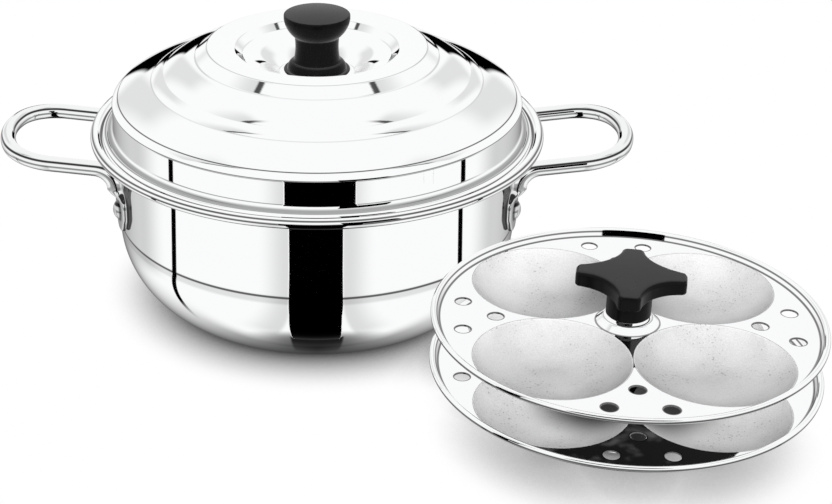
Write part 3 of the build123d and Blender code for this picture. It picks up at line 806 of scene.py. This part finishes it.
def satin_steel(name, painted_shade=None):
    """Steel as it leaves the press: a pale matt grey with fine grain and small darker specks."""
    finish = Finish(bpy.data.materials.new(name))
    place = finish.node("ShaderNodeTexCoord", {}, "Object")
    grain = finish.noise(place, 1500.0, 3.0)
    specks = finish.noise(place, 900.0, 1.0)
    worn = finish.noise(place, 40.0, 3.0)
    pits = specks.rise(0.64, 0.72) * worn.rise(0.42, 0.62)
    tone = satin_tone + 0.3 * (grain - 0.5) - 0.08 * worn.rise(0.4, 0.7) - 0.3 * pits
    # A painted shade, when given, darkens the tone.
    if painted_shade:
        tone = tone * painted_shade(finish)
    bump = finish.node("ShaderNodeBump", {"Height": grain, "Strength": 0.12, "Distance": 0.0002}, "Normal")
    shader = finish.node("ShaderNodeBsdfPrincipled", {
        "Base Color": finish.node("ShaderNodeCombineColor", {0: tone, 1: tone, 2: tone}, 0),
        "Metallic": 0.2,
        "Roughness": 0.5 + 0.15 * grain,
        "Normal": bump,
    })
    return finish.close(shader)


def painted_edge_lines(turn_degrees):
    """A painted fine dark line round each dish and each hole, standing in for the reflection and shade at
    their edges.
    """
    def shine(finish):
        x, y, z = finish.places(bolt_place, math.radians(turn_degrees))[1]
        x, y = abs(x), abs(y)
        longer, shorter = x.above(y), x.below(y)
        side = dish_distance / math.sqrt(2)
        dish_edge = ((x - side) * (x - side) + (y - side) * (y - side)).root() - dish_radius
        dark = dish_painted_line_depth * dish_edge.line(painted_line_half_width)
        vent_x = vent_circle * math.cos(math.radians(vent_spread))
        vent_y = vent_circle * math.sin(math.radians(vent_spread))
        for across, along in ((vent_inner_circle, 0), (vent_x, vent_y)):
            off_x, off_y = longer - across, shorter - along
            vent_edge = (off_x * off_x + off_y * off_y).root() - vent_radius
            dark = dark.above(vent_painted_line_depth * vent_edge.line(painted_line_half_width))
        return 1 - dark
    return shine


def flat_deck(bm, rings, holes):
    """Fills the flat of a plate inside its first ring, but for the holes, each a centre and a radius."""
    verts = [v for ring in rings for v in ring]
    edges = []
    start = 0
    for ring in rings:
        edges += [(start + k, start + (k + 1) % len(ring)) for k in range(len(ring))]
        start += len(ring)
    made = delaunay_2d_cdt([v.co.xy / mm for v in verts], edges, [], 0, 1e-6)
    points, faces, sources = made[0], made[2], made[3]
    for face in faces:
        middle = sum((points[i] for i in face), Vector((0, 0))) / len(face)
        if (middle - Vector(bolt_place)).length > tray_radius:
            continue
        if all((middle - Vector(centre)).length > radius for centre, radius in holes):
            bm.faces.new([verts[sources[i][0]] for i in face])


def around_stand(distance, turn):
    """A point round the bolt, and the move from the pot's axis to it."""
    centre = (stand_x + distance * math.cos(turn), stand_y + distance * math.sin(turn))
    return centre, Matrix.Translation((centre[0] * mm, centre[1] * mm, 0))


def idli_plate(name, deck, turn_degrees, body, nodes, painted_shade=None):
    """One plate with its flat at the deck's height, turned about the bolt."""
    bm = bmesh.new()
    boss = [
        (bolt_hole_radius, deck + boss_height),
        (boss_top_radius, deck + boss_height),
        (boss_base_radius, deck),
    ]
    boss = folded(boss, [boss[1]], boss_fold)
    bead_centre = (plate_radius - plate_bead, deck + tray_depth - plate_bead)
    slope = math.atan2(bead_centre[1] - deck, bead_centre[0] - tray_radius)
    slope += math.asin(plate_bead / math.dist((tray_radius, deck), bead_centre))
    rim = [(tray_radius - rim_fold, deck), (tray_radius, deck)]
    rim += bead(bead_centre, plate_bead, math.degrees(slope) + 90, -150, 28)
    rim = folded(rim, [(tray_radius, deck)], rim_fold)
    rings = [spin(bm, rim, rim_segments, stand_place, closed=False)[0]]
    rings.append(spin(bm, boss, boss_segments, stand_place, closed=False)[-1])
    holes = [(bolt_place, boss_base_radius)]
    dish = [(dish_radius + dish_fold, deck), (dish_radius, deck)]
    dish += arc(dish[1], (dish_floor_radius, deck - dish_depth), dish_arc, 26)
    dish = folded(dish, [(dish_radius, deck)], dish_fold, 6) + [(dish_floor_radius / 2, deck - dish_depth)]
    dish.append((0, deck - dish_depth))
    satin_faces = len(bm.faces)
    for k in range(4):
        centre, place = around_stand(dish_distance, math.radians(turn_degrees + 45 + 90 * k))
        rings.append(spin(bm, dish, dish_segments, place, closed=False)[0])
        holes.append((centre, dish_radius + dish_fold))
    bm.faces.ensure_lookup_table()
    for face in bm.faces[satin_faces:]:
        face.material_index = 1
    vents = ((vent_inner_circle, 0), (vent_circle, -vent_spread), (vent_circle, vent_spread))
    for k in range(4):
        for distance, spread in vents:
            centre, place = around_stand(distance, math.radians(turn_degrees + 90 * k + spread))
            rings += spin(bm, [(vent_radius, deck)], vent_segments, place, closed=False)
            holes.append((centre, vent_radius))
    flat_deck(bm, rings, holes)
    # Painted dark lines: painted reflections and shade at the tray's fold, the rim's curl and the boss.
    painted_lines = [
        (tray_radius, deck, 0.9, 0.8),
        (plate_radius - plate_bead, deck + tray_depth - 2 * plate_bead, 1.1, 0.8),
        (plate_radius, deck + tray_depth - plate_bead, 0.75, 0.85),
        (plate_radius - 2 * plate_bead, deck + tray_depth - plate_bead, 0.7, 0.8),
        (boss_base_radius, deck, 0.7, 0.7),
        (boss_top_radius, deck + boss_height, 0.5, 0.5),
    ]
    # Painted edge lines, and on the lower plate the painted stack shade, darken the polish.
    edges = painted_edge_lines(turn_degrees)
    painted_light = (lambda finish: edges(finish) * painted_shade(finish)) if painted_shade else edges
    finish_values = (tray_steel, tray_roughness, tray_haze, bolt_place, painted_lines, painted_light)
    polish = polished_steel(name + "_polish", *finish_values)
    satin = satin_steel(name + "_satin", painted_shade)
    return new_piece(name, bm, body, [polish, satin], nodes, sheet=plate_sheet)


# The lower plate gets the painted stack shade.
lower = idli_plate("lower_idli_plate", lower_deck, -2.5, "lower_tray", ["lower_plate"], painted_stack_shade)
lower.visible_glossy = False
upper = idli_plate("upper_idli_plate", upper_deck, -4.5, "upper_tray", ["upper_plate"])
upper.visible_shadow = upper.visible_diffuse = False
# A dark blotched disc under the upper plate, a painted reflection in the lower plate's deck.
bm = bmesh.new()
underside = upper_deck - plate_sheet / 2
underside_reach = 66.0
underside_shown = 0.12
spin(bm, [(0, underside), (underside_reach, underside)], boss_segments, stand_place, closed=False)
painted_reflection(upper, "upper_plate_underside", bm, underside_shown, blotched=0.75)

# Foot of the stand. A bell pressed from stainless sheet, under the lower plate, which keeps the dishes
# above the water. The bolt runs up through it, both plates and a length of tube that spaces them.
foot_sheet = 1.0
foot_radius = 36.0
foot_flare_height = 3.0
foot_seat_gap = 0.05
foot_fold = 2.2
foot_edge_fold = 1.4
foot_steel = (0.91, 0.915, 0.92)
foot_roughness = 0.035
foot_haze = 0.05
tube_radius = 6.0
boss_underside = lower_deck + boss_height - plate_sheet - foot_seat_gap
foot_line = [
    (bolt_hole_radius, boss_underside),
    (9.5, boss_underside),
    (13.6, boss_underside - 4.0),
    (19.0, 15.0),
    (32.0, foot_flare_height),
    (foot_radius, foot_flare_height),
    (foot_radius, 0),
]
foot_line = folded(foot_line, foot_line[1:5], foot_fold)
foot_line = folded(foot_line, [(foot_radius, foot_flare_height)], foot_edge_fold)
bm = bmesh.new()
spin(bm, foot_line + other_face(foot_line, -foot_sheet)[::-1], 160, stand_place)
foot_polish = polished_steel("foot_polish", foot_steel, foot_roughness, foot_haze, bolt_place)
new_piece("foot_bell", bm, "stand", [foot_polish], ["stand_foot"]).visible_glossy = False
tube_line = [
    (bolt_hole_radius, lower_deck + boss_height),
    (tube_radius, lower_deck + boss_height),
    (tube_radius, upper_deck + boss_height - plate_sheet),
    (bolt_hole_radius, upper_deck + boss_height - plate_sheet),
]
bm = bmesh.new()
spin(bm, tube_line, 64, stand_place)
tube = new_piece("plate_spacer", bm, "stand", [fastener_steel], ["spacer_tube"])
tube.visible_glossy = False
finish_node("centre_bolt", fastener_steel)
finish_node("star_knob_washer", fastener_steel)
finish_node("star_knob_insert", turned_brass)

# Star knob. Four hollow-sided lobes on a round hub, moulded like the lid's knob over a brass insert. It
# screws down on the bolt and clamps the stack.
star_washer_thickness = 0.8
hub_base = upper_deck + boss_height + star_washer_thickness
hub_radius = 11.1
hub_length = 15.6
star_thickness = 8.6
star_crown = 1.2
star_reach = 27.0
star_tip = 5.4
star_waist = 17.0
star_corner = 3.0
star_edge = 2.2
star_lower_edge = 0.8
edge_steps = 12
lower_edge_steps = 6
star_turn = math.radians(-11)
star_bore_radius = 5.5
star_bore_depth = 12.5
star_base = hub_base + hub_length
star_top = star_base + star_thickness
side_chord = math.dist((star_reach, star_tip), (star_tip, star_reach))
side_depth = math.dist((0, 0), (star_reach + star_tip, star_reach + star_tip)) / 2 - star_waist
side_arc = (side_chord**2 / 4 + side_depth**2) / (2 * side_depth)
quarter = [(star_reach, 0), (star_reach, star_tip)]
quarter += arc(quarter[1], (star_tip, star_reach), side_arc, 20)
quarter += [(0, star_reach)]
quarter = folded(quarter, [(star_reach, star_tip), (star_tip, star_reach)], star_corner, 12)
outline = []
for k in range(4):
    quarter_turn = Matrix.Rotation(star_turn + k * math.pi / 2, 2)
    outline += [quarter_turn @ Vector(p) for p in quarter[:-1]]


def inset(outline, distance):
    """A closed outline drawn in by a distance."""
    drawn = []
    for i, p in enumerate(outline):
        way = (outline[(i + 1) % len(outline)] - outline[i - 1]).normalized()
        drawn.append(p + Vector((-way.y, way.x)) * distance)
    return drawn


def star_top_height(p):
    """Height of the slightly crowned top over a point of it."""
    return star_top - star_crown * p.length_squared / star_reach**2


hub_line = [
    (star_bore_radius, hub_base + star_bore_depth),
    (star_bore_radius, hub_base),
    (hub_radius - star_lower_edge, hub_base),
    (hub_radius, hub_base + star_lower_edge),
    (hub_radius, star_base - star_lower_edge),
    (hub_radius + star_lower_edge, star_base),
]
levels = [[(p.normalized() * radius, height) for p in outline] for radius, height in hub_line]
for k in range(lower_edge_steps + 1):
    a = math.pi / 2 * k / lower_edge_steps
    ring = inset(outline, star_lower_edge * (1 - math.sin(a)))
    levels.append([(p, star_base + star_lower_edge * (1 - math.cos(a))) for p in ring])
for k in range(edge_steps + 1):
    a = math.pi / 2 * k / edge_steps
    ring = inset(outline, star_edge * (1 - math.cos(a)))
    levels.append([(p, star_top_height(p) - star_edge * (1 - math.sin(a))) for p in ring])
top_ring = inset(outline, star_edge)
for share in (0.94, 0.85, 0.72, 0.58, 0.42, 0.25, 0.1):
    levels.append([(p * share, star_top_height(p * share)) for p in top_ring])
bm = bmesh.new()
rings = []
for level in levels:
    rings.append([bm.verts.new(stand_place @ Vector((p.x * mm, p.y * mm, z * mm))) for p, z in level])
for lower, upper in zip(rings, rings[1:]):
    for k in range(len(outline)):
        after = (k + 1) % len(outline)
        bm.faces.new((lower[k], lower[after], upper[after], upper[k]))
bm.faces.new(rings[0])
crown = bm.verts.new(stand_place @ Vector((0, 0, star_top * mm)))
for k in range(len(outline)):
    bm.faces.new((rings[-1][k], rings[-1][(k + 1) % len(outline)], crown))
star = new_piece("star_knob_moulding", bm, "star", [black_phenolic], ["star_knob"])
from_pot = Vector((stand_x, stand_y, 0)).normalized()
# The hub's faces toward the pot, as a black painted reflection in its wall.
hub = faces_of(star, lambda f: f.normal.dot(from_pot) > 0.05 and f.calc_center_median().z < star_base * mm)
hub_shown = 0.004
painted_reflection(star, "star_knob_hub", hub, hub_shown, shine=0.0)

# Studio. White paper under a white tent, with one soft lamp in front. Polished steel shows only what
# stands round it, so a black card with a white edge stands before the pot and a small one before the
# stand. The thin side lines, the rear cards and the soft greys hang on the tent, for the steel alone.
lens_focus = 1800.0
photo_width = 832
axis_pixel = 317
camera_pitch = math.radians(27.2)
camera_place = (0, -0.9203, 0.4928)
floor_half = 6.0
card_distance = 120.0
card_edge = 2.0
card_edge_behind = 1.0
card_left = [(-317, -2600), (-179, -1200), (-91, -430), (-69, -228), (-55, -100), (-48, 0), (-48, 40)]
card_right = [(44.5, 40), (44.5, 0), (49, -100), (61, -228), (84, -430), (172, -1200), (310, -2600)]
card_outline = [(-54.5, 40), (-54.5, 110), (65.5, 110), (65.5, 40)] + card_right + card_left
card_glow = 0.04
card_glow_from = 300
card_glow_to = 2600
stand_card_distance = 189.0
stand_card_outline = [(50, 110), (195, 110), (195, 260), (50, 260)]
contact_reach = 38.0
side_line_normal = (-0.243, -0.845, -0.477)
side_line_half = 0.024
side_line_blur = 0.004
card_narrowing = 0.147
tent_light = 0.27
lamp_place = (0.08, -1.7, 1.1)
lamp_size = 1.0
lamp_watts = 50.0

paper = Finish(bpy.data.materials.new("paper"))
seen = paper.node("ShaderNodeLightPath", {}, "Is Camera Ray")
matt = paper.node("ShaderNodeBsdfDiffuse", {"Color": (0.92, 0.92, 0.92, 1)})
# For the camera the paper glows white, with a painted shadow where the pieces close off its open sky.
open_sky = paper.node("ShaderNodeAmbientOcclusion", {"Distance": contact_reach * mm}, "AO", samples=16)
white = paper.node("ShaderNodeEmission", {"Color": (1, 1, 1, 1), "Strength": open_sky.rise(-0.05, 0.78)})
sheet_of_paper = paper.close(paper.node("ShaderNodeMixShader", {0: seen, 1: matt, 2: white}))
bm = bmesh.new()
bmesh.ops.create_grid(bm, x_segments=1, y_segments=1, size=floor_half)
floor = object_of("floor", bm, [sheet_of_paper])
floor.visible_glossy = False


def card(name, outline, distance, tone):
    """A card that stands across the front, seen only in the steel."""
    bm = bmesh.new()
    bm.faces.new([bm.verts.new(Vector((x, -distance, z)) * mm) for x, z in outline])
    board = Finish(bpy.data.materials.new(name))
    below_table = -1 * board.places()[1][2]
    lit = tone + card_glow * below_table.rise(card_glow_from, card_glow_to)
    face = board.close(board.node("ShaderNodeEmission", {"Strength": lit}))
    for_steel_alone(object_of(name, bm, [face]))


card("front_card", card_outline, wall_radius + card_distance, 0.0)
edged = [(x + math.copysign(card_edge, x), z) for x, z in card_outline]
card("front_card_edge", edged, wall_radius + card_distance + card_edge_behind, 1.0)
card("stand_card", stand_card_outline, wall_radius + stand_card_distance, 0.0)

world = bpy.data.worlds.new("studio")
bpy.context.scene.world = world
light = Finish(world, "ShaderNodeOutputWorld")
ray = light.node("ShaderNodeTexCoord", {}, "Generated")
across = abs(light.node("ShaderNodeSeparateXYZ", {0: ray}, "X"))
rearward = light.node("ShaderNodeSeparateXYZ", {0: ray}, "Y")
upward = light.node("ShaderNodeSeparateXYZ", {0: ray}, "Z")
# Across, rearward and upward say how far a ray points to the sides, the back and up. Each patch of the
# tent lies between such bounds, and takes its share from the white.
front = 1 - rearward.rise(-0.3, 0.0)
rear = rearward.rise(0.0, 0.1)
beside_card = front * across.between(0.2, 0.24, 0.26, 0.5) * (1 - upward.rise(-0.3, 0.0))
off_line = across * side_line_normal[0] + rearward * side_line_normal[1] + upward * side_line_normal[2]
side_line = 1 - abs(off_line).rise(side_line_half - side_line_blur, side_line_half + side_line_blur)
side_line = side_line * upward.between(-0.84, -0.72, -0.37, -0.33) * across.rise(0.4, 0.5)
rear_shade = rearward.rise(-0.05, 0.3) * (1 - upward.rise(-0.46, -0.16)) * (0.96 - across.rise(-0.05, 0.85))
below_card = (1 - (across + card_narrowing * rearward).rise(0.122, 0.136)) * rearward.rise(-0.14, -0.1)
below_card = below_card * (1 - upward.rise(-0.95, -0.8)) * (1 - 0.4 * rearward.rise(0.0, 0.35))
straight_down = 1 - upward.rise(-1.0, -0.93)
rear_card = rear * across.between(0.13, 0.15, 0.27, 0.3) * (1 - abs(upward).rise(0.15, 0.19))
rear_grey = rear * across.between(0.28, 0.33, 0.45, 0.6) * upward.between(0.05, 0.2, 0.5, 0.65)
horizon = upward.between(-0.41, -0.37, -0.16, -0.08) * (1 - rearward.rise(-0.1, 0.3))
side_fade = rearward.between(-0.02, 0.03, 0.03, 0.35) * upward.rise(0.6, 0.7) * across.rise(0.35, 0.45)
rear_low = rearward.rise(0.1, 0.45) * upward.between(-0.6, -0.46, -0.3, -0.02) * across.rise(0.13, 0.3)
side_spot = (rearward - 0.015).line(0.035) * (upward - 0.855).line(0.1)
tone = 1 - rear_shade.above(0)
for patch, share in (
    (beside_card, 0.26),
    (side_line, 1.0),
    (below_card, 0.92),
    (straight_down, 0.85),
    (rear_card, 1.0),
    (rear_grey, 0.22),
    (horizon, 0.6),
    (side_fade, 0.25),
    (rear_low, 0.35),
    (side_spot, 0.9),
):
    tone = tone * (1 - share * patch)
glossy = light.node("ShaderNodeLightPath", {}, "Is Glossy Ray")
tone = 1 - glossy * (1 - tone)
shown = glossy.above(light.node("ShaderNodeLightPath", {}, "Is Camera Ray"))
shown = shown.above(light.node("ShaderNodeLightPath", {}, "Is Transmission Ray"))
light.close(light.node("ShaderNodeBackground", {
    "Color": light.node("ShaderNodeCombineColor", {0: tone, 1: tone, 2: tone}, 0),
    "Strength": tent_light + (1 - tent_light) * shown,
}))

lamp_data = bpy.data.lights.new("front_lamp", "AREA")
lamp_data.size = lamp_size
lamp_data.energy = lamp_watts
lamp = bpy.data.objects.new("front_lamp", lamp_data)
lamp.location = lamp_place
lamp.rotation_euler = (-Vector(lamp_place)).to_track_quat("-Z", "Y").to_euler()
lamp.visible_glossy = False
bpy.context.scene.collection.objects.link(lamp)

camera_data = bpy.data.cameras.new("camera")
camera_data.sensor_width = 36.0
camera_data.lens = lens_focus * camera_data.sensor_width / photo_width
camera_data.shift_x = (photo_width / 2 - axis_pixel) / photo_width
camera = bpy.data.objects.new("camera", camera_data)
camera.location = camera_place
camera.rotation_euler = (math.pi / 2 - camera_pitch, 0, 0)
bpy.context.scene.collection.objects.link(camera)
bpy.context.scene.camera = camera
bpy.context.scene.view_settings.view_transform = "Standard"
